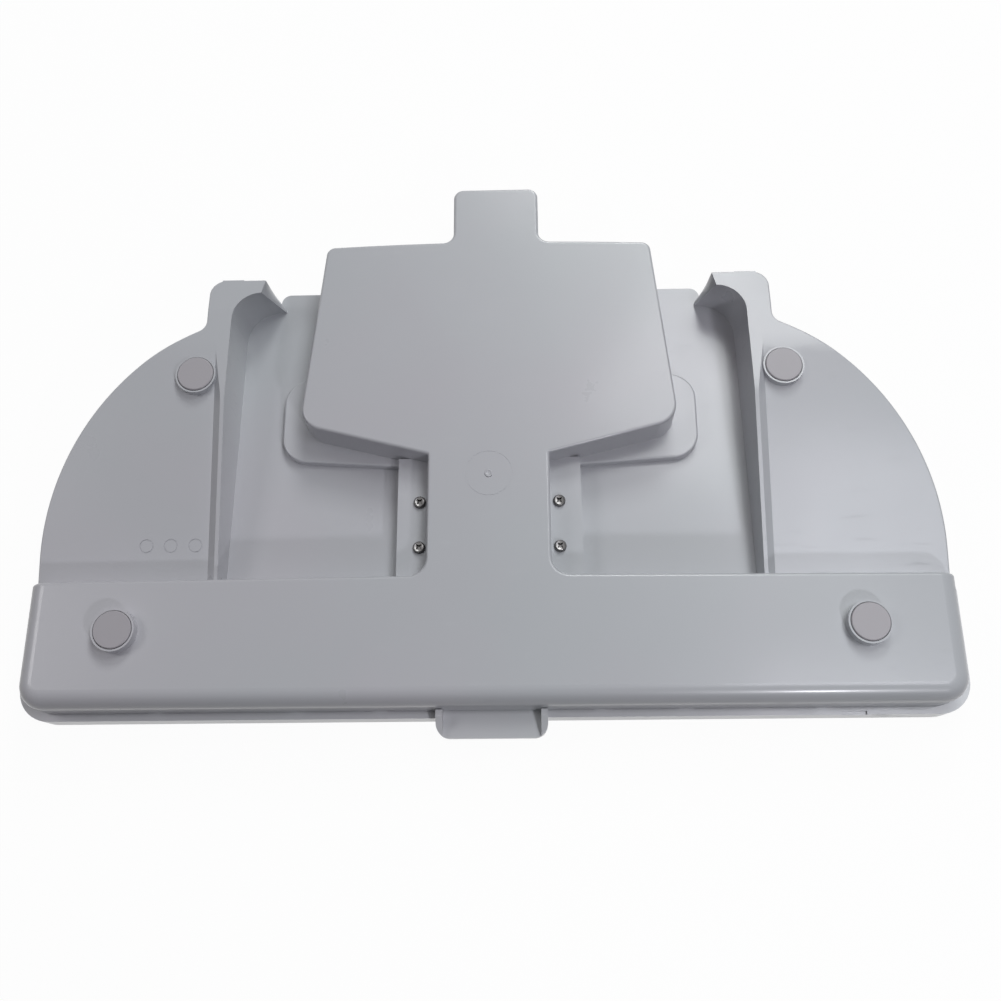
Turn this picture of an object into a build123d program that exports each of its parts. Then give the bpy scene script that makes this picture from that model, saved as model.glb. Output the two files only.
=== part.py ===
from build123d import *
import math
import os

# Underside tray of a robot vacuum base station, lying face down, in millimetres.
# X runs along the tray, Y from the pull handle to the round side, Z up from the
# surface that the face-down rim rests on. Plan positions are given from the
# junction, the line where the front block meets the two wings.

# Levels above the rest plane
DECK_BOTTOM = 5.0
DECK_TOP = 7.5
FLOOR_TOP = 10.0
SEAM = 12.0
PLATEAU_TOP = 14.5
WING_START = 19.0
STRIP_TOP = 20.0
BLOCK_TOP = 32.0
WING_TOP = 36.8
BOSS_TOP = 37.0
PAD_TOP = 37.7

# Walls, gaps and draft
WALL = 2.5
SEAM_GAP = 1.8
SEAM_GAP_DEPTH = 1.5
FIT = 0.15
PAD_GAP = 0.3
DRAFT = 1.5
RECESS_DRAFT = 3.0

# Front block
BLOCK_HALF = 211.8
BLOCK_DEPTH = 57.8
BLOCK_CROWN = 1.6
BLOCK_CORNER = 12.0
BLOCK_EDGE = 8.0
SOFT_EDGE = 1.5

# Wings
WING_HALF = 212.6
WING_ROUND = 122.6
WING_ROUND_Y = 13.4
KNEE_Y = 113.0
KNEE_BLEND = 60.0
WING_EDGE = 0.8
TAB_WIDTH = 13.5
TAB_REAR = 152.8
TAB_CREASE = 136.0
TAB_DROP = 1.0
TAB_CORNER = 8.0
TAB_NOTCH = 6.0

# Recess between the wings
RECESS_HALF_FRONT = 126.0
RECESS_HALF_REAR = 124.8
RECESS_REAR = 158.5
RECESS_REAR_HALF = 108.5
REAR_OPENING = 20.0
HOOK_START = 131.0
HOOK_RADIUS = 17.4
HOOK_TIP_X = 105.4
HOOK_TIP_Y = 148.2
HOOK_FALL = 5.0
LIP_WIDTH = 2.4
LIP_FLANK = 4.0
LIP_HEIGHT = 3.7

# Neck, sump box and rear spout
NECK_HALF = 29.2
NECK_FILLET = 8.0
NECK_END = 59.6
BOX_HALF = 91.4
BOX_REAR_HALF = 82.0
BOX_SHOULDER = 75.6
BOX_REAR = 173.6
BOX_REAR_CROWN = 2.0
BOX_CORNER = 12.0
BOX_REAR_CORNER = 5.0
SPOUT_LEFT = 18.0
SPOUT_RIGHT = 26.0
SPOUT_REAR = 206.5
SPOUT_CORNER = 5.5
SPOUT_FILLET = 5.0
PLATEAU_HALF = 102.4
PLATEAU_FRONT = 64.0
PLATEAU_REAR = 108.0
PLATEAU_CORNER = 13.0
PLATEAU_EDGE = 1.2

# Screwed strips beside the neck
STRIP_HALF = 43.8
SCREW_X = 33.2
SCREW_ROWS = (17.2, 39.6)
SCREW_HEAD_RADIUS = 3.0
SCREW_HEAD_HEIGHT = 1.9
SCREW_HEAD_ROUND = 0.8
SCREW_SHANK_RADIUS = 1.45
SCREW_LENGTH = 9.0
SCREW_DRIVE_DEPTH = 1.1
SCREW_DRIVE_WIDTH = 0.9
SCREW_DRIVE_SPAN = 3.2
POST_RADIUS = 3.6

# Feet
FOOT_FRONT = (167.8, -23.8)
FOOT_WING = (141.3, 101.1)
PAD_RADIUS = 8.6
PAD_THICKNESS = 2.5
PAD_EDGE = 0.4
BOSS_RIM = 0.85

# Face-down tray: rim, ledge and pull handle
RIM_HALF = 217.4
RIM_DEPTH = 61.0
RIM_CORNER = 15.0
RIM_REAR_CORNER = 5.0
NOTCH_LEFT = 157.8
NOTCH_RIGHT = 169.5
NOTCH_DEPTH = 1.2
HANDLE_CENTRE = 0.7
HANDLE_WIDTH = 50.4
HANDLE_REACH = 70.0
HANDLE_CORNER = 6.0
HANDLE_PANEL = 3.0
CHEEK_THICKNESS = 3.0
CHEEK_RISE = 7.5
CLIP_WIDTH = 7.0
CLIP_CENTRES = (-152.8, -88.3, -50.4, 50.4, 88.3, 149.8)

# Mould marks
DIAL_X = (-161.9, -150.3, -138.7)
DIAL_Y = 19.3
DIAL_RADIUS = 3.3
DIAL_LINE = 0.5
GATE_LINE = 0.4
GATE_Y = 49.8
GATE_RADIUS = 11.2
GATE_DOT = 1.9
MARK_DEPTH = 0.25
GATE_DEPTH = 0.1

# Worked-out values
JUNCTION_Y = (HANDLE_REACH - SPOUT_REAR) / 2
WING_RISE = WING_TOP - WING_START
WING_SLOPE = math.degrees(math.atan2(WING_RISE, KNEE_Y))
BOSS_RADIUS = PAD_RADIUS + PAD_GAP + BOSS_RIM
PAD_SEAT = PAD_TOP - PAD_THICKNESS
HANDLE_ROOT = BLOCK_DEPTH + FIT
TAB_SIDE = RECESS_HALF_REAR + TAB_WIDTH
WING_ROUND_X = WING_HALF - WING_ROUND
WING_NORMAL = (0, -WING_RISE, KNEE_Y)
FAR = 400.0
TALL = 80.0
NEAR = 0.01


def level(z):
    return Plane((0, JUNCTION_Y, z))


def side_plane(x=0.0):
    return Plane((x, JUNCTION_Y, 0), x_dir=(0, 1, 0), z_dir=(1, 0, 0))


def wing_outline(z, inset=0.0):
    """Plan of both wings and what lies between them, as one D."""
    lean = math.sqrt(WING_ROUND**2 - (TAB_SIDE - WING_ROUND_X)**2)
    arc_end = (-TAB_SIDE, WING_ROUND_Y + lean)
    turn = (math.pi + math.atan2(lean, WING_ROUND_X - TAB_SIDE)) / 2
    arc_mid = (-WING_ROUND_X + WING_ROUND * math.cos(turn), WING_ROUND_Y + WING_ROUND * math.sin(turn))
    with BuildSketch(level(z)) as outline:
        with BuildLine():
            Line((0, 0), (-WING_HALF, 0))
            Line((-WING_HALF, 0), (-WING_HALF, WING_ROUND_Y))
            ThreePointArc((-WING_HALF, WING_ROUND_Y), arc_mid, arc_end)
            Line(arc_end, (-TAB_SIDE, TAB_REAR))
            Line((-TAB_SIDE, TAB_REAR), (0, TAB_REAR))
            mirror(about=Plane.YZ)
        make_face()
        notches = outline.vertices().filter_by(lambda v: abs(abs(v.X) - TAB_SIDE) < NEAR)
        fillet(notches.group_by(Axis.Y)[0], TAB_NOTCH)
        fillet(outline.vertices().group_by(Axis.Y)[-1], TAB_CORNER)
        if inset:
            offset(amount=-inset, mode=Mode.REPLACE)
    return outline.sketch


def wing_section(drop=0.0, rise=0.0):
    """Section of a wing along Y: slope, knee, level stretch and rear tab."""
    slope = WING_RISE / KNEE_Y
    start = WING_START - drop + rise
    top = WING_TOP - drop
    knee = (top - start) / slope
    crease = TAB_CREASE - drop
    rear = TAB_REAR - drop
    with BuildSketch(side_plane()) as section:
        with BuildLine():
            Polyline(
                (-WALL, -TALL), (-WALL, start - slope * WALL), (knee, top), (crease, top),
                (rear, top - TAB_DROP), (rear, -TALL), (-WALL, -TALL),
            )
        make_face()
        bend = [v for v in section.vertices() if abs(v.Y - top) < NEAR and abs(v.X - knee) < NEAR]
        fillet(bend, KNEE_BLEND)
    return section.sketch


def recess_outline(z, grow=0.0):
    """Plan of the open recess: straight sides, hooked ends, open to the rear."""
    end_round = TAB_REAR - HOOK_TIP_Y
    hook_end = HOOK_TIP_X + end_round
    with BuildSketch(level(z)) as outline:
        with BuildLine():
            Line((0, -WALL), (-RECESS_HALF_FRONT, -WALL))
            Line((-RECESS_HALF_FRONT, -WALL), (-RECESS_HALF_REAR, HOOK_START))
            RadiusArc((-RECESS_HALF_REAR, HOOK_START), (-HOOK_TIP_X, HOOK_TIP_Y), HOOK_RADIUS)
            CenterArc((-hook_end, HOOK_TIP_Y), end_round, 0, 90)
            Line((-hook_end, TAB_REAR), (-hook_end, FAR))
            Line((-hook_end, FAR), (0, FAR))
            mirror(about=Plane.YZ)
        make_face()
        if grow:
            offset(amount=grow, kind=Kind.INTERSECTION, mode=Mode.REPLACE)
    return outline.sketch


def corners(outline, x, y, reach=1.0):
    """Corners of a plan near (x, y) and near its mirror image."""
    return [v for v in outline.vertices() if abs(abs(v.X) - x) < reach and abs(v.Y - y) < reach]


def raised_outline(z, inset=0.0, with_block=True):
    """Plan of what stands proud of the recess: block, neck, sump box and spout."""
    neck_start = 0 if with_block else -WALL / 2
    with BuildSketch(level(z)) as outline:
        if with_block:
            with BuildLine():
                Line((-BLOCK_HALF, 0), (-BLOCK_HALF, -BLOCK_DEPTH))
                Line((-BLOCK_HALF, -BLOCK_DEPTH), (BLOCK_HALF, -BLOCK_DEPTH))
                Line((BLOCK_HALF, -BLOCK_DEPTH), (BLOCK_HALF, 0))
                Polyline((-BLOCK_HALF, 0), (0, BLOCK_CROWN), (BLOCK_HALF, 0))
            make_face()
        with BuildLine():
            Polyline(
                (0, neck_start), (-NECK_HALF, neck_start), (-NECK_HALF, NECK_END),
                (-BOX_HALF, BOX_SHOULDER), (-BOX_REAR_HALF, BOX_REAR),
            )
            crown = (0, BOX_REAR + BOX_REAR_CROWN)
            ThreePointArc((-BOX_REAR_HALF, BOX_REAR), crown, (BOX_REAR_HALF, BOX_REAR))
            Polyline(
                (0, neck_start), (NECK_HALF, neck_start), (NECK_HALF, NECK_END),
                (BOX_HALF, BOX_SHOULDER), (BOX_REAR_HALF, BOX_REAR),
            )
        make_face()
        with BuildLine():
            Polyline(
                (-SPOUT_LEFT, BOX_SHOULDER), (-SPOUT_LEFT, SPOUT_REAR), (SPOUT_RIGHT, SPOUT_REAR),
                (SPOUT_RIGHT, BOX_SHOULDER), close=True,
            )
        make_face()
        if with_block:
            fillet(corners(outline, NECK_HALF, BLOCK_CROWN), NECK_FILLET)
            fillet(corners(outline, BLOCK_HALF, -BLOCK_DEPTH), BLOCK_CORNER)
        fillet(corners(outline, BOX_HALF, BOX_SHOULDER), BOX_CORNER)
        fillet(corners(outline, BOX_REAR_HALF, BOX_REAR), BOX_REAR_CORNER)
        spout_roots = corners(outline, SPOUT_LEFT, BOX_REAR, BOX_REAR_CROWN + WALL / 2)
        spout_roots += corners(outline, SPOUT_RIGHT, BOX_REAR, BOX_REAR_CROWN + WALL / 2)
        fillet(spout_roots, SPOUT_FILLET)
        fillet(outline.vertices().group_by(Axis.Y)[-1], SPOUT_CORNER)
        if inset:
            offset(amount=-inset, mode=Mode.REPLACE)
    return outline.sketch


def plateau_outline(z, inset=0.0):
    """Plan of the low step round the box's front corners."""
    with BuildSketch(level(z)) as outline:
        with BuildLine():
            Polyline(
                (-PLATEAU_HALF, PLATEAU_REAR), (-PLATEAU_HALF, PLATEAU_FRONT), (0, NECK_END - WALL),
                (PLATEAU_HALF, PLATEAU_FRONT), (PLATEAU_HALF, PLATEAU_REAR), close=True,
            )
        make_face()
        fillet([v for v in outline.vertices() if abs(v.X) > NEAR], PLATEAU_CORNER)
        if inset:
            offset(amount=-inset, mode=Mode.REPLACE)
    return outline.sketch


def strip_outline(z, inset=0.0):
    """Plan of the two screwed strips, joined under the neck."""
    with BuildSketch(level(z)) as outline:
        with Locations((0, NECK_END / 2)):
            Rectangle(2 * (STRIP_HALF - inset), NECK_END + 2 * WALL)
    return outline.sketch


def foot_places():
    """Plan places of the four feet, front pair first."""
    return [(side * x, y + JUNCTION_Y) for x, y in (FOOT_FRONT, FOOT_WING) for side in (-1, 1)]


def foot_circles(z, radius):
    with BuildSketch(Plane.XY.offset(z)) as circles:
        with Locations(*foot_places()):
            Circle(radius)
    return circles.sketch


def screw_places():
    return [(side * SCREW_X, y + JUNCTION_Y) for y in SCREW_ROWS for side in (-1, 1)]


def screw_circles(z, radius):
    with BuildSketch(Plane.XY.offset(z)) as circles:
        with Locations(*screw_places()):
            Circle(radius)
    return circles.sketch


def wing_solid(inset=0.0):
    """Both wings with their lips, and the recess cut out between them."""
    with BuildPart() as wings:
        extrude(wing_outline(SEAM - inset, inset), amount=TALL)
        extrude(wing_section(inset), amount=FAR, both=True, mode=Mode.INTERSECT)
        if not inset:
            walls = wings.faces().filter_by(lambda f: abs(f.normal_at().Z) < 0.5)
            tops = wings.faces().filter_by(lambda f: f.normal_at().Z > 0.5).edges()
            rims = [e for e in walls.edges() if e in tops and e.center().Y > JUNCTION_Y]
            fillet(rims, WING_EDGE)
            add(lips())
        extrude(recess_outline(FLOOR_TOP, inset), amount=TALL, taper=-RECESS_DRAFT, mode=Mode.SUBTRACT)
        extrude(recess_outline(FLOOR_TOP, inset), amount=-TALL, mode=Mode.SUBTRACT)
        add(hook_end_cut(inset), mode=Mode.SUBTRACT)
    return wings.part


def lips():
    """Raised lip along each side of the recess, with a sloped outer flank."""
    inner = RECESS_HALF_REAR - RECESS_DRAFT
    crest = RECESS_HALF_FRONT + LIP_WIDTH
    rise = math.radians(WING_SLOPE)
    with BuildPart() as lip:
        start = Plane((0, JUNCTION_Y - WALL, -WALL * math.tan(rise)), x_dir=(1, 0, 0), z_dir=(0, -1, 0))
        with BuildSketch(start):
            with BuildLine():
                Polyline(
                    (-inner, FLOOR_TOP), (-inner, WING_START + LIP_HEIGHT), (-crest, WING_START + LIP_HEIGHT),
                    (-crest - LIP_FLANK, WING_START), (-crest - LIP_FLANK, FLOOR_TOP), close=True,
                )
            make_face()
            mirror(about=Plane.YZ)
        extrude(amount=RECESS_REAR, dir=(0, math.cos(rise), math.sin(rise)))
        extrude(wing_section(rise=LIP_HEIGHT), amount=FAR, both=True, mode=Mode.INTERSECT)
    return lip.part


def hook_end_cut(inset=0.0):
    """Rounds the top of each hook's end down towards the recess floor."""
    end = HOOK_TIP_X + inset
    top = WING_TOP - inset
    with BuildPart() as cut:
        start = Plane((0, JUNCTION_Y + HOOK_START + TAB_CORNER, 0), x_dir=(1, 0, 0), z_dir=(0, -1, 0))
        with BuildSketch(start):
            with Locations((-end, top), (end, top)):
                Rectangle(2 * HOOK_FALL, 2 * HOOK_FALL)
            with Locations((-end - HOOK_FALL, top - HOOK_FALL), (end + HOOK_FALL, top - HOOK_FALL)):
                Circle(HOOK_FALL, mode=Mode.SUBTRACT)
        extrude(amount=-FAR)
    return cut.part


def rounded_slab(inset=0.0):
    """Slab as wide as the block whose rounded top edge the block takes over."""
    depth = FAR + BLOCK_DEPTH
    with BuildPart() as slab:
        with BuildSketch(level(SEAM)) as plan:
            with Locations((0, depth / 2 - BLOCK_DEPTH)):
                Rectangle(2 * (BLOCK_HALF - inset), depth - 2 * inset)
            fillet(plan.vertices(), BLOCK_CORNER - inset)
        extrude(amount=BLOCK_TOP - inset - SEAM, taper=DRAFT)
        fillet(slab.faces().sort_by(Axis.Z)[-1].outer_wire().edges(), BLOCK_EDGE - inset)
    return slab.part


def raised_solid(inset=0.0):
    """Block, neck, sump box and spout, with soft top edges."""
    with BuildPart() as raised:
        extrude(raised_outline(SEAM, inset), amount=BLOCK_TOP - inset - SEAM, taper=DRAFT)
        add(rounded_slab(inset), mode=Mode.INTERSECT)
        if not inset:
            rim = raised.faces().filter_by(Axis.Z).sort_by(Axis.Z)[-1].outer_wire().edges()
            behind = JUNCTION_Y - BLOCK_DEPTH / 4
            fillet(rim.filter_by(lambda e: e.center().Y >= behind), SOFT_EDGE)
        extrude(raised_outline(SEAM, inset, False), amount=DECK_TOP - SEAM)
    return raised.part


def plateau_solid(inset=0.0):
    bottom = DECK_TOP if not inset else DECK_BOTTOM
    with BuildPart() as plateau:
        extrude(plateau_outline(bottom, inset), amount=PLATEAU_TOP - inset - bottom)
        if not inset:
            fillet(plateau.faces().sort_by(Axis.Z)[-1].outer_wire().edges(), PLATEAU_EDGE)
    return plateau.part


def underside_form(inset=0.0):
    """The moulding's outer form, or with an inset the hollow that it leaves."""
    bottom = DECK_TOP if not inset else DECK_BOTTOM
    with BuildPart() as form:
        add(wing_solid(inset))
        if not inset:
            with BuildSketch(level(DECK_TOP)):
                with Locations((0, (TAB_REAR - WALL) / 2)):
                    Rectangle(2 * (RECESS_HALF_FRONT + WALL), TAB_REAR + WALL)
                add(rear_ledge())
            extrude(amount=SEAM - DECK_TOP)
            extrude(recess_outline(FLOOR_TOP), amount=TALL, taper=-RECESS_DRAFT, mode=Mode.SUBTRACT)
        add(plateau_solid(inset))
        extrude(strip_outline(bottom, inset), amount=STRIP_TOP - inset - bottom)
        add(raised_solid(inset))
        if inset:
            extrude(raised_outline(SEAM, inset, False), amount=DECK_BOTTOM - SEAM)
            extrude(foot_circles(SEAM, BOSS_RADIUS - inset), amount=PAD_SEAT - inset - SEAM)
        else:
            extrude(foot_circles(SEAM, BOSS_RADIUS), amount=BOSS_TOP - SEAM)
    return form.part


def rear_ledge():
    """Plan of the recess floor where it reaches past the wings' rear edge."""
    with BuildSketch() as ledge:
        with Locations((0, RECESS_REAR / 2)):
            Rectangle(2 * RECESS_REAR_HALF, RECESS_REAR)
        fillet(ledge.vertices().group_by(Axis.Y)[-1], SPOUT_FILLET)
    return ledge.sketch


def rim_outline(z, inset=0.0):
    """Plan of the face-down tray: wings, rim round the block, sump box and spout."""
    with BuildSketch(level(z)) as outline:
        add(wing_outline(0).moved(Location((0, -JUNCTION_Y, 0))))
        add(raised_outline(0, 0, False).moved(Location((0, -JUNCTION_Y, 0))))
        add(rear_ledge())
        with BuildSketch(mode=Mode.PRIVATE) as rim:
            with Locations((0, -RIM_DEPTH / 2)):
                Rectangle(2 * RIM_HALF, RIM_DEPTH)
            fillet(rim.vertices().group_by(Axis.Y)[0], RIM_CORNER)
            fillet(rim.vertices().group_by(Axis.Y)[-1], RIM_REAR_CORNER)
        add(rim.sketch)
        with Locations((0, RIM_REAR_CORNER / 2)):
            Rectangle(2 * WING_HALF, 3 * RIM_REAR_CORNER)
        if inset:
            offset(amount=-inset, mode=Mode.REPLACE)
    return outline.sketch


def wall_outline(z, inset=0.0):
    """Plan of the moulding's outer walls, which stand on the raised rim."""
    with BuildSketch(level(z)) as outline:
        with Locations((0, -BLOCK_DEPTH / 2)):
            Rectangle(2 * BLOCK_HALF, BLOCK_DEPTH)
        fillet(outline.vertices().group_by(Axis.Y)[0], BLOCK_CORNER)
        add(wing_outline(0).moved(Location((0, -JUNCTION_Y, 0))))
        if inset:
            offset(amount=-inset, mode=Mode.REPLACE)
    return outline.sketch


def pocket_outline(z):
    """Plan of the deck inside the raised rim, open to the rear between the hooks."""
    with BuildSketch(level(z)) as outline:
        add(wall_outline(0, WALL).moved(Location((0, -JUNCTION_Y, 0))))
        with Locations((0, RECESS_REAR)):
            Rectangle(2 * RECESS_REAR_HALF, REAR_OPENING)
        with Locations((0, SPOUT_REAR)):
            Rectangle(2 * BOX_HALF, 2 * (SPOUT_REAR - RECESS_REAR))
    return outline.sketch


def seam_ring(z):
    """Band along the foot of the outer walls that leaves the dark seam line."""
    with BuildSketch(level(z)) as ring:
        add(wall_outline(0, -WALL).moved(Location((0, -JUNCTION_Y, 0))))
        add(wall_outline(0, SEAM_GAP_DEPTH).moved(Location((0, -JUNCTION_Y, 0))), mode=Mode.SUBTRACT)
        with Locations((0, RECESS_REAR)):
            Rectangle(2 * RECESS_REAR_HALF, REAR_OPENING, mode=Mode.SUBTRACT)
    return ring.sketch


def handle_solid():
    """Pull handle: a panel level with the rim between two cheeks."""
    top = SEAM + CHEEK_RISE
    depth = HANDLE_REACH - HANDLE_ROOT
    panel_half = HANDLE_WIDTH / 2 - CHEEK_THICKNESS
    with BuildPart() as handle:
        with BuildSketch(level(DECK_BOTTOM - WALL)) as plan:
            with Locations((HANDLE_CENTRE, -HANDLE_ROOT - depth / 2)):
                Rectangle(HANDLE_WIDTH, depth)
            fillet(plan.vertices().group_by(Axis.Y)[0], HANDLE_CORNER)
        extrude(amount=top - DECK_BOTTOM + WALL)
        with BuildSketch(side_plane()):
            with BuildLine():
                Polyline(
                    (-RIM_DEPTH, top), (-HANDLE_REACH, SEAM + CHEEK_RISE / 5), (-HANDLE_REACH, TALL),
                    (-RIM_DEPTH, TALL), close=True,
                )
            make_face()
            with BuildLine():
                Polyline(
                    (-RIM_DEPTH, DECK_BOTTOM - WALL), (-HANDLE_REACH, SEAM - HANDLE_PANEL),
                    (-HANDLE_REACH, -WALL), (-RIM_DEPTH, -WALL), close=True,
                )
            make_face()
        extrude(amount=FAR, both=True, mode=Mode.SUBTRACT)
        with BuildSketch(level(SEAM)):
            with Locations((HANDLE_CENTRE, -HANDLE_ROOT - depth / 2)):
                Rectangle(2 * panel_half, 2 * depth)
        extrude(amount=TALL, mode=Mode.SUBTRACT)
        with BuildSketch(level(SEAM - HANDLE_PANEL)):
            with Locations((HANDLE_CENTRE, -RIM_DEPTH - depth / 2)):
                Rectangle(2 * panel_half, depth)
        extrude(amount=-TALL, mode=Mode.SUBTRACT)
    return handle.part


# Underside moulding
outer_form = underside_form()
hollow = underside_form(WALL)
with BuildPart() as lower_shell:
    add(outer_form)
    add(hollow, mode=Mode.SUBTRACT)
    with BuildSketch(level(DECK_TOP)) as rim_ring:
        add(rim_outline(0).moved(Location((0, -JUNCTION_Y, 0))))
        add(pocket_outline(0).moved(Location((0, -JUNCTION_Y, 0))), mode=Mode.SUBTRACT)
    extrude(amount=SEAM - DECK_TOP, mode=Mode.SUBTRACT)
    extrude(foot_circles(PAD_SEAT, PAD_RADIUS + PAD_GAP), amount=TALL, mode=Mode.SUBTRACT)
    screw_holes = screw_circles(DECK_TOP, SCREW_SHANK_RADIUS + FIT)
    extrude(screw_holes, amount=STRIP_TOP - DECK_TOP, mode=Mode.SUBTRACT)
    extrude(seam_ring(SEAM), amount=SEAM_GAP, mode=Mode.SUBTRACT)
    slope_plane = Plane((0, JUNCTION_Y, WING_START), x_dir=(1, 0, 0), z_dir=WING_NORMAL)
    with BuildSketch(slope_plane):
        with Locations(*[(x, DIAL_Y) for x in DIAL_X]):
            Circle(DIAL_RADIUS)
            Circle(DIAL_RADIUS - DIAL_LINE, mode=Mode.SUBTRACT)
    extrude(amount=-MARK_DEPTH, mode=Mode.SUBTRACT)
    with BuildSketch(level(BLOCK_TOP)):
        with Locations((0, GATE_Y)):
            for radius in (GATE_RADIUS, GATE_DOT):
                Circle(radius)
                Circle(radius - GATE_LINE, mode=Mode.SUBTRACT)
    extrude(amount=-GATE_DEPTH, mode=Mode.SUBTRACT)
lower_shell.part.label = "lower_shell"

# Face-down tray with its rim and pull handle
with BuildPart() as upper_tray:
    extrude(rim_outline(0), amount=SEAM)
    add(handle_solid())
    extrude(rim_outline(0, WALL), amount=DECK_BOTTOM, mode=Mode.SUBTRACT)
    extrude(pocket_outline(DECK_TOP), amount=TALL, mode=Mode.SUBTRACT)
    extrude(screw_circles(DECK_TOP, POST_RADIUS), amount=STRIP_TOP - WALL - DECK_TOP)
    post_holes = screw_circles(STRIP_TOP - SCREW_LENGTH, SCREW_SHANK_RADIUS + FIT)
    extrude(post_holes, amount=TALL, mode=Mode.SUBTRACT)
    with BuildSketch(level(SEAM)):
        with Locations(*[(x, -BLOCK_DEPTH + SEAM_GAP_DEPTH / 2) for x in CLIP_CENTRES]):
            Rectangle(CLIP_WIDTH, SEAM_GAP_DEPTH - 2 * FIT)
    extrude(amount=SEAM_GAP - 2 * FIT)
    with BuildSketch(level(SEAM)):
        with Locations(((NOTCH_LEFT + NOTCH_RIGHT) / 2, -RIM_DEPTH)):
            Rectangle(NOTCH_RIGHT - NOTCH_LEFT, RIM_DEPTH - BLOCK_DEPTH)
    extrude(amount=-NOTCH_DEPTH, mode=Mode.SUBTRACT)
upper_tray.part.label = "upper_tray"

nodes = [lower_shell.part, upper_tray.part]

# Rubber foot pads, seated in their bosses
FOOT_NAMES = ("foot_pad_front_left", "foot_pad_front_right", "foot_pad_wing_left", "foot_pad_wing_right")
for name, (x, y) in zip(FOOT_NAMES, foot_places()):
    with BuildPart() as foot_pad:
        with BuildSketch(Plane((x, y, PAD_SEAT))):
            Circle(PAD_RADIUS)
        extrude(amount=PAD_THICKNESS)
        chamfer(foot_pad.faces().sort_by(Axis.Z)[-1].edges(), PAD_EDGE)
    foot_pad.part.label = name
    nodes.append(foot_pad.part)

# Pan-head screws with a cross drive
SCREW_NAMES = ("screw_front_left", "screw_front_right", "screw_rear_left", "screw_rear_right")
for name, (x, y) in zip(SCREW_NAMES, screw_places()):
    with BuildPart() as screw:
        with BuildSketch(Plane((x, y, STRIP_TOP))):
            Circle(SCREW_HEAD_RADIUS)
        extrude(amount=SCREW_HEAD_HEIGHT)
        chamfer(screw.faces().sort_by(Axis.Z)[-1].edges(), SCREW_HEAD_ROUND)
        with BuildSketch(Plane((x, y, STRIP_TOP))):
            Circle(SCREW_SHANK_RADIUS)
        extrude(amount=-SCREW_LENGTH)
        chamfer(screw.faces().sort_by(Axis.Z)[0].edges(), SCREW_SHANK_RADIUS / 3)
        with BuildSketch(Plane((x, y, STRIP_TOP + SCREW_HEAD_HEIGHT))):
            Rectangle(SCREW_DRIVE_SPAN, SCREW_DRIVE_WIDTH)
            Rectangle(SCREW_DRIVE_WIDTH, SCREW_DRIVE_SPAN)
        extrude(amount=-SCREW_DRIVE_DEPTH, mode=Mode.SUBTRACT)
    screw.part.label = name
    nodes.append(screw.part)

os.makedirs("parts", exist_ok=True)
for node in nodes:
    export_step(node, f"parts/{node.label}.step")
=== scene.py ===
# %% [markdown]
# The tray lies face down, as it was photographed, so this scene shows its underside.
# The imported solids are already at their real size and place, so the scene starts by
# loading them as a fixed frame and only adds what a camera sees: finish, light, view
# and a few small pieces.

# %% Load the frame
import math
import bpy
from mathutils import Matrix, Vector


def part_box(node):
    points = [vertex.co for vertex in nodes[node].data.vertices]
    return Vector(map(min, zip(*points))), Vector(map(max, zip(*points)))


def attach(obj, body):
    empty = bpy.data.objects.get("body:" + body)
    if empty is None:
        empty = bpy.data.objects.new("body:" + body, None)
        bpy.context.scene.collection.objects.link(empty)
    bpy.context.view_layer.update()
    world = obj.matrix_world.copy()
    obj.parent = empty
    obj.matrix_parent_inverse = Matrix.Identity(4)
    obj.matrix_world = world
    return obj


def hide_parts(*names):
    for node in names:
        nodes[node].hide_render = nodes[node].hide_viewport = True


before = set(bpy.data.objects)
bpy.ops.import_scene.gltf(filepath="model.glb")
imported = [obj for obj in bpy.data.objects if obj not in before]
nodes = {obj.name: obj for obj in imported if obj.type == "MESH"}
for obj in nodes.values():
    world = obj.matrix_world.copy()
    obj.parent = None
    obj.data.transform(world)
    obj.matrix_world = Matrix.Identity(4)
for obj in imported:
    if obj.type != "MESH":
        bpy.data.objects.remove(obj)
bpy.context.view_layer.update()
print("nodes", sorted(nodes))

# %% [markdown]
# Some places are measured from the junction, the line where the front block meets the
# two wings. A fixed number would do, but the junction is worked out from the shell's own
# box, so that it follows the solids. Sizes are written in millimetres and scaled by MM,
# because Blender counts in metres.

# %% Places on the tray
MM = 0.001
BLOCK_DEPTH = 57.8 * MM

shell_low = Vector(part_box("lower_shell")[0])
junction_y = shell_low.y + BLOCK_DEPTH
print("junction at", round(junction_y / MM, 2), "mm")

# %% [markdown]
# The camera stands where the photograph was taken from: close above the pull handle and
# tipped forward. It could be aimed at a target with a constraint, but a matrix says it
# plainly and stays put: a place, then yaw, tilt and roll, one after another.

# %% Camera
CAMERA_SIDE = 16.0 * MM
CAMERA_BEHIND_JUNCTION = 120.25 * MM
CAMERA_HEIGHT = 493.9 * MM
YAW = math.radians(3.826)
TILT = math.radians(18.739)
ROLL = math.radians(-4.399)
LENS = 37.76
SENSOR_WIDTH = 36.0


def added(name, data):
    """Puts a new object with the given data into the scene."""
    new_object = bpy.data.objects.new(name, data)
    bpy.context.scene.collection.objects.link(new_object)
    return new_object


camera_data = bpy.data.cameras.new("photo_camera")
camera_data.lens = LENS
camera_data.sensor_width = SENSOR_WIDTH
camera = added("photo_camera", camera_data)
place = Vector((CAMERA_SIDE, junction_y - CAMERA_BEHIND_JUNCTION, CAMERA_HEIGHT))
turn = Matrix.Rotation(YAW, 4, "Z") @ Matrix.Rotation(TILT, 4, "X") @ Matrix.Rotation(ROLL, 4, "Z")
camera.matrix_world = Matrix.Translation(place) @ turn
bpy.context.scene.camera = camera
print("camera at", [round(value, 4) for value in place])

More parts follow.
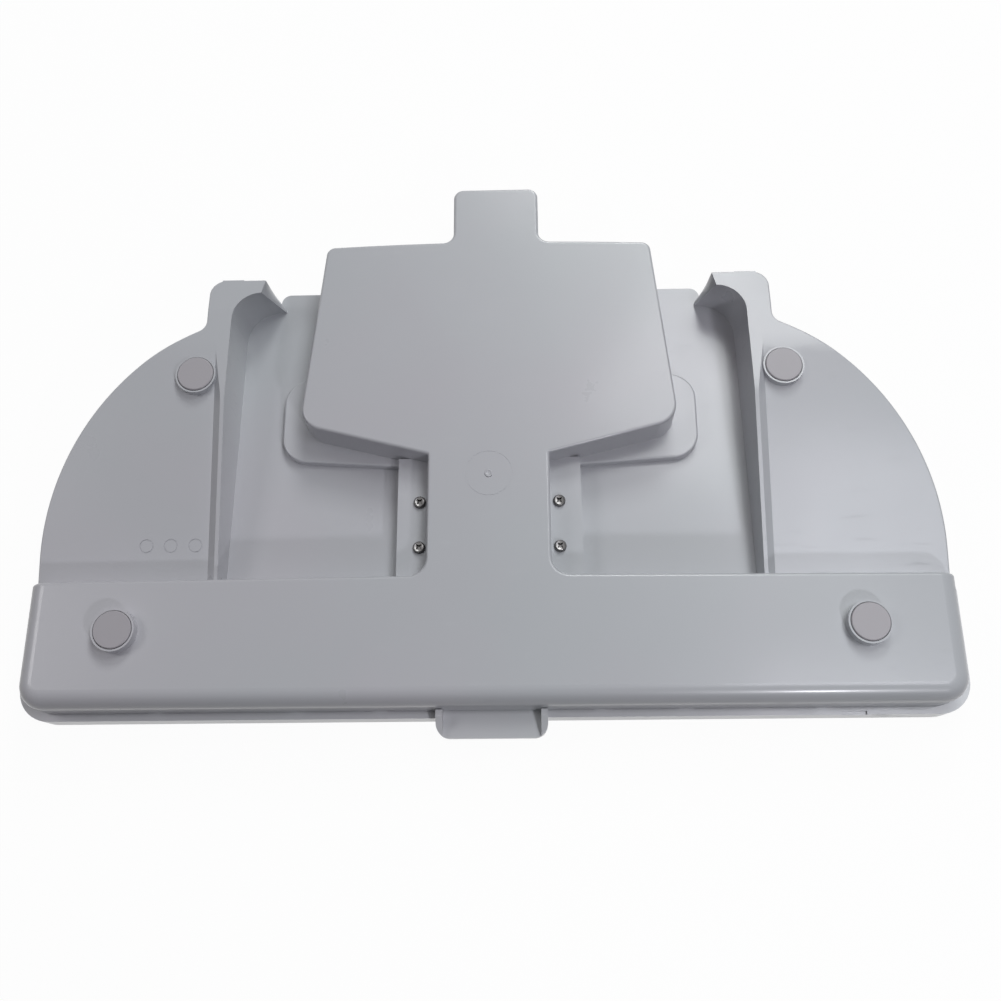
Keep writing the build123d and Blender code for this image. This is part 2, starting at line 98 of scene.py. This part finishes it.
# %% [markdown]
# Soft light comes from area lamps: the larger the lamp, the softer its shadow. One helper
# makes them all, since a lamp here is only a direction, a size, a power and a tint. They
# look at a point a little to the right of the middle, where the light is strongest.

# %% A helper for lamps
AIM = Vector((0.05, 0.0, 0.02))


def soft_lamp(name, direction, distance, size, power, colour):
    """Adds a square area lamp that looks at the tray from a direction."""
    data = bpy.data.lights.new(name, "AREA")
    data.shape = "SQUARE"
    data.size = size
    data.energy = power
    data.color = colour
    lamp = added(name, data)
    lamp.location = AIM + Vector(direction).normalized() * distance
    lamp.rotation_euler = (AIM - lamp.location).to_track_quat("-Z", "Y").to_euler()
    print(name, power, "W")


# %% [markdown]
# A large lamp stands behind on the right. It casts the shadows that fall to the left, and
# its mirror image lies on the right wing, which is why that side looks paler. A small lamp
# in front throws the block's shadow on the wings behind it. Its edge is sharper because
# the lamp is small. The other three fill in from behind, above and the left.

# %% Lamps
LAMP_DISTANCE = 1.5
FRONT_DISTANCE = 0.8
WINDOW_SIZE = 0.55
FILL_SIZE = 0.42
FRONT_SIZE = 0.05

soft_lamp("window_lamp", (0.30, 0.44, 0.84), LAMP_DISTANCE, WINDOW_SIZE, 6.0, (0.97, 1.0, 1.0))
soft_lamp("back_lamp", (0.10, 0.75, 0.65), LAMP_DISTANCE, FILL_SIZE, 8.1, (0.98, 1.0, 0.99))
soft_lamp("top_lamp", (0.37, -0.07, 0.94), LAMP_DISTANCE, FILL_SIZE, 3.9, (0.93, 0.93, 1.0))
soft_lamp("left_lamp", (-0.70, 0.10, 0.70), LAMP_DISTANCE, FILL_SIZE, 2.7, (1.0, 0.99, 1.0))
soft_lamp("front_lamp", (0.34, -0.74, 0.56), FRONT_DISTANCE, FRONT_SIZE, 1.3, (0.95, 0.95, 1.0))
bpy.context.scene.view_settings.view_transform = "Standard"

# %% [markdown]
# The photograph's background is pure white, but a white room would light the tray from
# all sides and wash its shadows out. So only the rays that look at the background see it
# white, straight or by way of a mirror or glass. The Light Path node tells them apart.

# %% Which rays look at the background
def seen_rays(tree):
    """Gives 1 for the rays that look at the background, and 0 for the others."""
    rays = tree.nodes.new("ShaderNodeLightPath")
    seen = rays.outputs["Is Camera Ray"]
    for kind in ("Is Glossy Ray", "Is Transmission Ray"):
        either = tree.nodes.new("ShaderNodeMath")
        either.operation = "MAXIMUM"
        tree.links.new(seen, either.inputs[0])
        tree.links.new(rays.outputs[kind], either.inputs[1])
        seen = either.outputs[0]
    return seen


# %% [markdown]
# The sky is therefore two skies. A faint one lights the tray a little, so that no corner
# is black, and a white one is what the rays above see past the far edge of the floor.

# %% World
WHITE = (1.0, 1.0, 1.0, 1.0)
WHITE_SHARE = 0.96
SKY_COLOUR = (0.93, 0.94, 1.0, 1.0)
SKY_LIGHT = 0.01

world = bpy.data.worlds.new("studio_world")
bpy.context.scene.world = world
world.use_nodes = True
tree = world.node_tree
faint_sky = tree.nodes["Background"]
faint_sky.inputs["Color"].default_value = SKY_COLOUR
faint_sky.inputs["Strength"].default_value = SKY_LIGHT
white_sky = tree.nodes.new("ShaderNodeBackground")
white_sky.inputs["Color"].default_value = WHITE
white_sky.inputs["Strength"].default_value = WHITE_SHARE
either_sky = tree.nodes.new("ShaderNodeMixShader")
tree.links.new(seen_rays(tree), either_sky.inputs[0])
tree.links.new(faint_sky.outputs[0], either_sky.inputs[1])
tree.links.new(white_sky.outputs[0], either_sky.inputs[2])
tree.links.new(either_sky.outputs[0], tree.nodes["World Output"].inputs["Surface"])
print("sky light", SKY_LIGHT)

# %% [markdown]
# The floor is a plain pale sheet. Rays that look at it see it nearly white, like the sky,
# and a share of plain shading stays in, so that the tray keeps its shadow. For all other
# rays it is a dark grey, because a white floor would light the tray's sides from below.

# %% Floor
FLOOR_SIZE = 60.0
SEEN_PALENESS = 0.85
BOUNCE_PALENESS = 0.12

bpy.ops.object.select_all(action="DESELECT")
bpy.ops.mesh.primitive_plane_add(size=FLOOR_SIZE)
floor = bpy.context.active_object
floor.name = "floor"
paint = bpy.data.materials.new("floor_white")
paint.use_nodes = True
tree = paint.node_tree
tree.nodes.clear()
output = tree.nodes.new("ShaderNodeOutputMaterial")
mix = tree.nodes.new("ShaderNodeMixShader")
shade = tree.nodes.new("ShaderNodeBsdfDiffuse")
glow = tree.nodes.new("ShaderNodeEmission")
glow.inputs["Strength"].default_value = 1.0
seen = seen_rays(tree)
share = tree.nodes.new("ShaderNodeMath")
share.operation = "MULTIPLY"
share.inputs[1].default_value = WHITE_SHARE
paleness = tree.nodes.new("ShaderNodeMath")
paleness.operation = "MULTIPLY_ADD"
paleness.inputs[1].default_value = SEEN_PALENESS - BOUNCE_PALENESS
paleness.inputs[2].default_value = BOUNCE_PALENESS
tree.links.new(seen, share.inputs[0])
tree.links.new(seen, paleness.inputs[0])
tree.links.new(paleness.outputs[0], shade.inputs["Color"])
tree.links.new(share.outputs[0], mix.inputs[0])
tree.links.new(shade.outputs[0], mix.inputs[1])
tree.links.new(glow.outputs[0], mix.inputs[2])
tree.links.new(mix.outputs[0], output.inputs["Surface"])
floor.data.materials.append(paint)
print("floor", FLOOR_SIZE, "m")

# %% [markdown]
# Moulded plastic is never one flat colour, and every irregularity of it is a noise of its
# own scale. The noises read Object coordinates rather than an unwrapped map, because the
# solids have none, and because a pattern then stays put when the view turns.

# %% A helper for noise
def noise(tree, vector, scale, detail):
    """Adds one noise texture fed by a vector socket."""
    texture = tree.nodes.new("ShaderNodeTexNoise")
    texture.inputs["Scale"].default_value = scale
    texture.inputs["Detail"].default_value = detail
    tree.links.new(vector, texture.inputs["Vector"])
    return texture


# %% [markdown]
# The melt leaves broad faint clouds of warmer and cooler grey. Handling leaves patches
# that are duller or glossier, and here and there a short scuff, which is a noise drawn
# out into streaks and cut off so that only its peaks show. The mould leaves a very fine
# grain. A thin clear coat over it all gives edges their sharper highlight.

# %% A material for moulded pieces
CLOUD_SCALE = 7.0
CLOUD_DETAIL = 3.0
CLOUD_WARM_END = 0.36
CLOUD_COOL_END = 0.64
WEAR_SCALE = 24.0
WEAR_DETAIL = 6.0
WEAR_SPREAD = 0.07
SCUFF_SCALE = (60.0, 420.0, 60.0)
SCUFF_TURN = (0.0, 0.0, 0.6)
SCUFF_DETAIL = 2.0
SCUFF_START = 0.66
SCUFF_FULL = 0.76
SCUFF_DULLNESS = 0.18
GRAIN_SCALE = 2600.0
GRAIN_DETAIL = 2.0
GRAIN_HEIGHT = 0.2 * MM
COAT_ROUGHNESS = 0.14


def moulded(name, warm, cool, roughness, coat=0.0, grain=0.02):
    """Grey with clouds of two tints, patchy gloss, short scuffs and a fine grain."""
    material = bpy.data.materials.new(name)
    material.use_nodes = True
    tree = material.node_tree
    shader = tree.nodes["Principled BSDF"]
    shader.inputs["Coat Weight"].default_value = coat
    shader.inputs["Coat Roughness"].default_value = COAT_ROUGHNESS
    place = tree.nodes.new("ShaderNodeTexCoord").outputs["Object"]

    clouds = noise(tree, place, CLOUD_SCALE, CLOUD_DETAIL)
    tint = tree.nodes.new("ShaderNodeValToRGB")
    tint.color_ramp.elements[0].position = CLOUD_WARM_END
    tint.color_ramp.elements[1].position = CLOUD_COOL_END
    tint.color_ramp.elements[0].color = (*warm, 1.0)
    tint.color_ramp.elements[1].color = (*cool, 1.0)
    tree.links.new(clouds.outputs["Fac"], tint.inputs["Fac"])
    tree.links.new(tint.outputs["Color"], shader.inputs["Base Color"])

    wear = noise(tree, place, WEAR_SCALE, WEAR_DETAIL)
    gloss = tree.nodes.new("ShaderNodeMapRange")
    gloss.inputs["To Min"].default_value = roughness - WEAR_SPREAD
    gloss.inputs["To Max"].default_value = roughness + WEAR_SPREAD
    tree.links.new(wear.outputs["Fac"], gloss.inputs["Value"])

    stretch = tree.nodes.new("ShaderNodeMapping")
    stretch.inputs["Scale"].default_value = SCUFF_SCALE
    stretch.inputs["Rotation"].default_value = SCUFF_TURN
    tree.links.new(place, stretch.inputs["Vector"])
    scuffs = noise(tree, stretch.outputs["Vector"], 1.0, SCUFF_DETAIL)
    marks = tree.nodes.new("ShaderNodeMapRange")
    marks.inputs["From Min"].default_value = SCUFF_START
    marks.inputs["From Max"].default_value = SCUFF_FULL
    marks.inputs["To Max"].default_value = SCUFF_DULLNESS
    tree.links.new(scuffs.outputs["Fac"], marks.inputs["Value"])
    rough = tree.nodes.new("ShaderNodeMath")
    tree.links.new(gloss.outputs["Result"], rough.inputs[0])
    tree.links.new(marks.outputs["Result"], rough.inputs[1])
    tree.links.new(rough.outputs[0], shader.inputs["Roughness"])

    fine = noise(tree, place, GRAIN_SCALE, GRAIN_DETAIL)
    bump = tree.nodes.new("ShaderNodeBump")
    bump.inputs["Strength"].default_value = grain
    bump.inputs["Distance"].default_value = GRAIN_HEIGHT
    tree.links.new(fine.outputs["Fac"], bump.inputs["Height"])
    tree.links.new(bump.outputs["Normal"], shader.inputs["Normal"])
    return material


# %% [markdown]
# The two mouldings are the same kind of plastic from two moulds. The one on top here has
# a slightly deeper grey. The upper tray's paler grey is partly painted light: it is raised
# to stand in for the front light on the rim and the handle. The solids' own meshes are
# never touched: a solid only gets the material in each of its slots.

# %% The two mouldings
SHELL_WARM = (0.442, 0.436, 0.466)
SHELL_COOL = (0.426, 0.440, 0.462)
# Painted light: the upper tray's grey is set lighter, partly to stand in for the front light on its
# rim and handle.
TRAY_LIT_WARM = (0.58, 0.575, 0.60)
TRAY_LIT_COOL = (0.565, 0.58, 0.595)
HOUSING_ROUGHNESS = 0.3
HOUSING_COAT = 0.25


def dress(node, material):
    """Puts one material on every slot of a solid."""
    data = nodes[node].data
    if not data.materials:
        data.materials.append(material)
    for index in range(len(data.materials)):
        data.materials[index] = material
    print(node, "wears", material.name)


shell_plastic = moulded("shell_plastic", SHELL_WARM, SHELL_COOL, HOUSING_ROUGHNESS, coat=HOUSING_COAT)
tray_plastic = moulded("tray_plastic", TRAY_LIT_WARM, TRAY_LIT_COOL, HOUSING_ROUGHNESS, coat=HOUSING_COAT)
dress("lower_shell", shell_plastic)
dress("upper_tray", tray_plastic)

# %% [markdown]
# The foot pads are soft rubber discs. Rubber scatters light widely and has a dusty grain,
# so the same recipe serves with more roughness, a stronger bump and no clear coat.

# %% Rubber pads
PAD_WARM = (0.35, 0.332, 0.355)
PAD_COOL = (0.375, 0.36, 0.38)
PAD_ROUGHNESS = 0.45
PAD_GRAIN = 0.12

pad_rubber = moulded("pad_rubber", PAD_WARM, PAD_COOL, PAD_ROUGHNESS, grain=PAD_GRAIN)
for node in nodes:
    if node.startswith("foot_pad"):
        dress(node, pad_rubber)

# %% [markdown]
# Screws and the nub further down are round all about, so both are made in one way: a disc
# is extruded upwards ring by ring, and each new ring is widened or narrowed. A spun outline
# would give the same form, but the rings need no seam or pole to be closed afterwards.

# %% A helper for round pieces
def move_all(value):
    """Moves everything in the mesh that is open in edit mode."""
    bpy.ops.mesh.select_all(action="SELECT")
    bpy.ops.transform.translate(value=value)


def pushed_up(name, rings, sides, centre):
    """A turned piece: a disc extruded through rings of radius and height."""
    bpy.ops.object.select_all(action="DESELECT")
    bpy.ops.mesh.primitive_circle_add(vertices=sides, radius=rings[0][0] * MM, fill_type="NGON")
    piece = bpy.context.active_object
    piece.name = name
    bpy.ops.object.mode_set(mode="EDIT")
    bpy.ops.mesh.select_all(action="SELECT")
    for (radius, height), (next_radius, next_height) in zip(rings, rings[1:]):
        push = {"value": (0.0, 0.0, (next_height - height) * MM)}
        bpy.ops.mesh.extrude_region_move(TRANSFORM_OT_translate=push)
        grow = next_radius / radius
        bpy.ops.transform.resize(value=(grow, grow, 1.0), center_override=(0.0, 0.0, 0.0))
    bpy.ops.mesh.select_all(action="SELECT")
    bpy.ops.mesh.normals_make_consistent(inside=False)
    move_all((centre.x, centre.y, centre.z + rings[0][1] * MM))
    bpy.ops.object.mode_set(mode="OBJECT")
    return piece


# %% [markdown]
# The cross in a screw's head is cut by two bars, square to each other. A cone with four
# sides makes a bar that narrows downwards, as the tip of a screwdriver does, once it is
# squeezed flat. It is turned with center_override, because no window gives a pivot here.

# %% A helper for the cross
BAR_SIDES = 4
BAR_TURNS = (45.0, 135.0)
CROSS_TOP = 2.05
CROSS_BOTTOM = 1.1
CROSS_DEPTH = 1.7
CROSS_THIN = 0.42
CROSS_CLEAR = 0.02


def cut_cross(piece, centre):
    """Cuts two tapered bars out of a piece, square to each other."""
    for bar_turn in BAR_TURNS:
        bpy.ops.object.select_all(action="DESELECT")
        bpy.ops.mesh.primitive_cone_add(
            vertices=BAR_SIDES,
            radius1=CROSS_BOTTOM * MM,
            radius2=CROSS_TOP * MM,
            depth=CROSS_DEPTH * MM,
        )
        bar = bpy.context.active_object
        bpy.ops.object.mode_set(mode="EDIT")
        bpy.ops.mesh.select_all(action="SELECT")
        bpy.ops.transform.resize(value=(1.0, CROSS_THIN, 1.0), center_override=(0.0, 0.0, 0.0))
        angle = math.radians(bar_turn)
        bpy.ops.transform.rotate(value=angle, orient_axis="Z", center_override=(0.0, 0.0, 0.0))
        move_all((centre.x, centre.y, centre.z - CROSS_DEPTH * MM / 2 + CROSS_CLEAR * MM))
        bpy.ops.object.mode_set(mode="OBJECT")
        cut = piece.modifiers.new("cross", "BOOLEAN")
        cut.operation = "DIFFERENCE"
        cut.object = bar
        bpy.context.view_layer.objects.active = piece
        bpy.ops.object.modifier_apply(modifier="cross")
        bpy.data.objects.remove(bar)


# %% [markdown]
# The screws' steel is dark and fairly smooth. It is the same recipe with the metal socket
# turned up, so a screw is as bright as what it mirrors.

# %% Steel
STEEL_WARM = (0.11, 0.107, 0.107)
STEEL_COOL = (0.19, 0.185, 0.185)
STEEL_ROUGHNESS = 0.26
STEEL_GRAIN = 0.05

screw_steel = moulded("screw_steel", STEEL_WARM, STEEL_COOL, STEEL_ROUGHNESS, grain=STEEL_GRAIN)
screw_steel.node_tree.nodes["Principled BSDF"].inputs["Metallic"].default_value = 1.0
print("steel", STEEL_WARM, STEEL_COOL)

# %% [markdown]
# The four screws get true pan heads: pointed shank, seat, domed head and a shallow dish
# with the cross in it. The dome is what gives a dark screw its one small glint. They are
# alike, so one is modelled, at the place of the plain screw that it replaces.

# %% The first screw
SMOOTH_ANGLE = 32.0
SCREW_SIDES = 48
SCREW_RINGS = (
    (0.97, -10.9), (1.45, -10.4), (1.45, -1.9), (2.90, -1.9), (3.0, -1.7), (2.97, -1.2),
    (2.80, -0.7), (2.60, -0.35), (2.35, -0.08), (2.20, 0.0), (2.05, -0.1), (0.5, -0.16),
)


def top_centre(node):
    """Middle of the top face of a solid's box."""
    low, high = [Vector(corner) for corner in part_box(node)]
    return Vector(((low.x + high.x) / 2, (low.y + high.y) / 2, high.z))


screw_nodes = sorted(name for name in nodes if name.startswith("screw"))
first_centre = top_centre(screw_nodes[0])
first_screw = pushed_up("pan_" + screw_nodes[0], SCREW_RINGS, SCREW_SIDES, first_centre)
cut_cross(first_screw, first_centre)
bpy.ops.object.select_all(action="DESELECT")
first_screw.select_set(True)
bpy.context.view_layer.objects.active = first_screw
bpy.ops.object.shade_smooth_by_angle(angle=math.radians(SMOOTH_ANGLE))
first_screw.data.materials.append(screw_steel)
print("first screw at", [round(value / MM, 2) for value in first_centre], "mm")

# %% [markdown]
# The other three are copies. Each gets a mesh of its own that is moved to its place, so
# that every object stays at the origin, as the solids do. All four then take the place
# of a plain solid screw.

# %% All four screws
for node in screw_nodes:
    screw = first_screw
    if node != screw_nodes[0]:
        screw = added("pan_" + node, first_screw.data.copy())
        screw.data.transform(Matrix.Translation(top_centre(node) - first_centre))
    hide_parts(node)
    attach(screw, "root")
    print(screw.name, len(screw.data.polygons), "faces")

# %% [markdown]
# Where the melt entered the mould, a small round nub was left on the neck. It is a low
# disc with a dimple, sunk a little into the neck so that nothing floats.

# %% Gate nub
GATE_BEHIND_JUNCTION = 49.8 * MM
BLOCK_TOP = 32.0 * MM
NUB_SIDES = 32
NUB_SINK = 0.3
NUB_RINGS = ((1.9, -NUB_SINK), (1.9, 0.25), (1.7, 0.42), (1.15, 0.42), (0.95, 0.2), (0.4, 0.12))

nub_centre = Vector((0.0, junction_y + GATE_BEHIND_JUNCTION, BLOCK_TOP))
gate_nub = pushed_up("gate_nub", NUB_RINGS, NUB_SIDES, nub_centre)
bpy.ops.object.shade_smooth_by_angle(angle=math.radians(SMOOTH_ANGLE))
gate_nub.data.materials.append(shell_plastic)
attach(gate_nub, "root")
print("gate nub", len(gate_nub.data.polygons), "faces")

# %% [markdown]
# Along the foot of the block's rear wall the recess floor runs on under the wall. Two low
# sills close that slot. Each is a cube stretched to length, whose rear corners are then
# drawn out to the wall, because the wall leans back towards the middle. Their ends, tops
# and undersides are sunk a little into the solids around them.

# %% A helper for the sills
BLOCK_HALF = 211.8 * MM
BLOCK_CROWN = 1.6 * MM
SILL_DEPTH = 2.6 * MM
SILL_LOW = 9.9 * MM
SILL_HIGH = 12.3 * MM
SILL_INNER = 43.0 * MM
SILL_OUTER = 126.3 * MM
NEAR = 0.1 * MM


def wall_line(x):
    """How far the block's rear wall stands behind the junction at a place across."""
    return BLOCK_CROWN * (1.0 - abs(x) / BLOCK_HALF)


def sill(name, side):
    """One low bar that fills the slot on one side of the neck."""
    bpy.ops.object.select_all(action="DESELECT")
    bpy.ops.mesh.primitive_cube_add(size=1.0)
    bar = bpy.context.active_object
    bar.name = name
    bpy.ops.object.mode_set(mode="EDIT")
    bpy.ops.mesh.select_all(action="SELECT")
    lengths = (SILL_OUTER - SILL_INNER, SILL_DEPTH, SILL_HIGH - SILL_LOW)
    bpy.ops.transform.resize(value=lengths, center_override=(0.0, 0.0, 0.0))
    middle = (SILL_INNER + SILL_OUTER) / 2
    move_all((side * middle, junction_y - SILL_DEPTH / 2, (SILL_LOW + SILL_HIGH) / 2))
    for across in (SILL_INNER, SILL_OUTER):
        bpy.ops.mesh.select_all(action="DESELECT")
        bpy.ops.object.mode_set(mode="OBJECT")
        for vertex in bar.data.vertices:
            at_rear = vertex.co.y > junction_y - NEAR
            vertex.select = at_rear and abs(side * vertex.co.x - across) < NEAR
        bpy.ops.object.mode_set(mode="EDIT")
        bpy.ops.transform.translate(value=(0.0, wall_line(across), 0.0))
    bpy.ops.object.mode_set(mode="OBJECT")
    bar.data.materials.append(shell_plastic)
    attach(bar, "root")
    print(name, len(bar.data.polygons), "faces")


# %% [markdown]
# The tray is the same on both sides here, so one helper makes both sills, with the side
# as a sign. The sign is put into each place and not into a negative scale, which would
# turn the faces inside out.

# %% Recess sills
sill("recess_sill_left", -1)
sill("recess_sill_right", 1)
